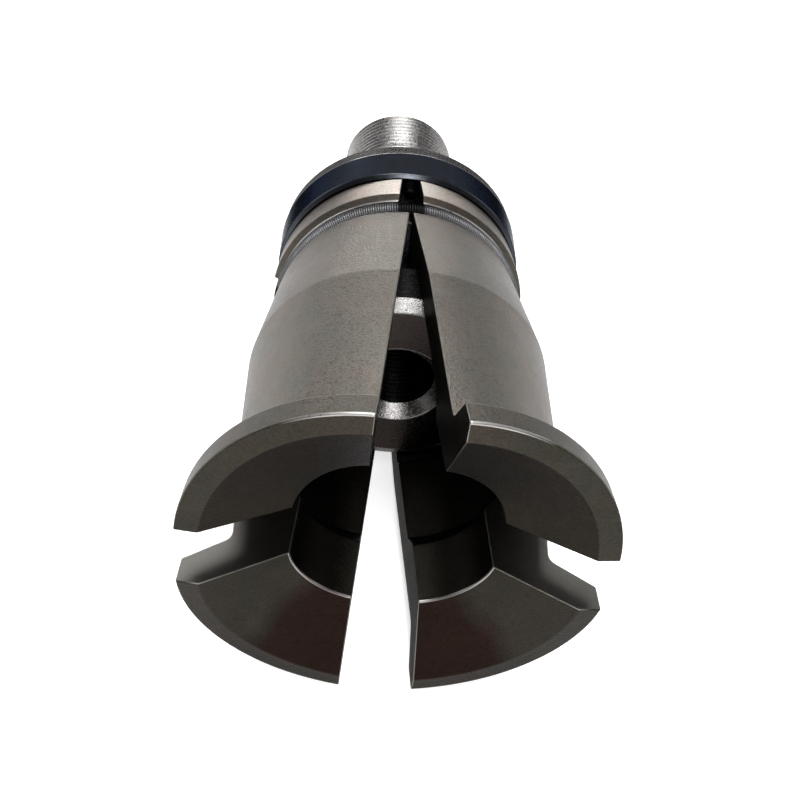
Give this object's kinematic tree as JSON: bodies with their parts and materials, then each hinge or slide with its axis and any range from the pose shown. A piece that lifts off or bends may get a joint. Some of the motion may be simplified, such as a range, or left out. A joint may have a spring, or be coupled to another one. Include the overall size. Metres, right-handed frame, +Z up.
{
  "type": "taper collet chuck",
  "caption": "Drawbar pull collet: threaded stud, shoulder and black ring behind rocking steel jaws, held by a garter spring, that open at the mouth to grip a taper's retention knob.",
  "frame": {"origin": "centre of the shoulder's rear seating face, on the axis", "axes": "-Y along the axis towards the open mouth, +Y towards the drawbar thread, +Z up, with a slot between two jaws at the top and at the bottom"},
  "size_m": [0.0576, 0.0992, 0.0576],
  "materials": {
    "hub_steel": "turned, bright",
    "black_ring": "black oxide, satin",
    "dowel_steel": "hardened, dark",
    "jaw_steel": "ground, satin, slightly warm",
    "spring_steel": "drawn wire, dark"
  },
  "bodies": {
    "hub": {"drawbar_hub": "hub_steel", "thrust_ring": "black_ring", "dowel_1": "dowel_steel", "dowel_2": "dowel_steel", "dowel_3": "dowel_steel", "dowel_4": "dowel_steel", "garter_spring": "spring_steel"},
    "jaw_1": {"jaw_1": "jaw_steel"},
    "jaw_2": {"jaw_2": "jaw_steel"},
    "jaw_3": {"jaw_3": "jaw_steel"},
    "jaw_4": {"jaw_4": "jaw_steel"}
  },
  "joints": [
    {"name": "jaw_1_rock", "type": "hinge", "parent": "hub", "child": "jaw_1", "pos_m": [0.01131, -0.0321, 0.01131], "axis": [0.7071, 0, -0.7071], "range_deg": [0, 7.8], "stiffness_Nm_per_rad": 2, "springref_deg": -6.88, "deforming": ["garter_spring"]},
    {"name": "jaw_2_rock", "type": "hinge", "parent": "hub", "child": "jaw_2", "pos_m": [-0.01131, -0.0321, 0.01131], "axis": [0.7071, 0, 0.7071], "range_deg": [0, 7.8], "stiffness_Nm_per_rad": 2, "springref_deg": -6.88, "deforming": ["garter_spring"]},
    {"name": "jaw_3_rock", "type": "hinge", "parent": "hub", "child": "jaw_3", "pos_m": [-0.01131, -0.0321, -0.01131], "axis": [-0.7071, 0, 0.7071], "range_deg": [0, 7.8], "stiffness_Nm_per_rad": 2, "springref_deg": -6.88, "deforming": ["garter_spring"]},
    {"name": "jaw_4_rock", "type": "hinge", "parent": "hub", "child": "jaw_4", "pos_m": [0.01131, -0.0321, -0.01131], "axis": [-0.7071, 0, -0.7071], "range_deg": [0, 7.8], "stiffness_Nm_per_rad": 2, "springref_deg": -6.88, "deforming": ["garter_spring"]}
  ]
}
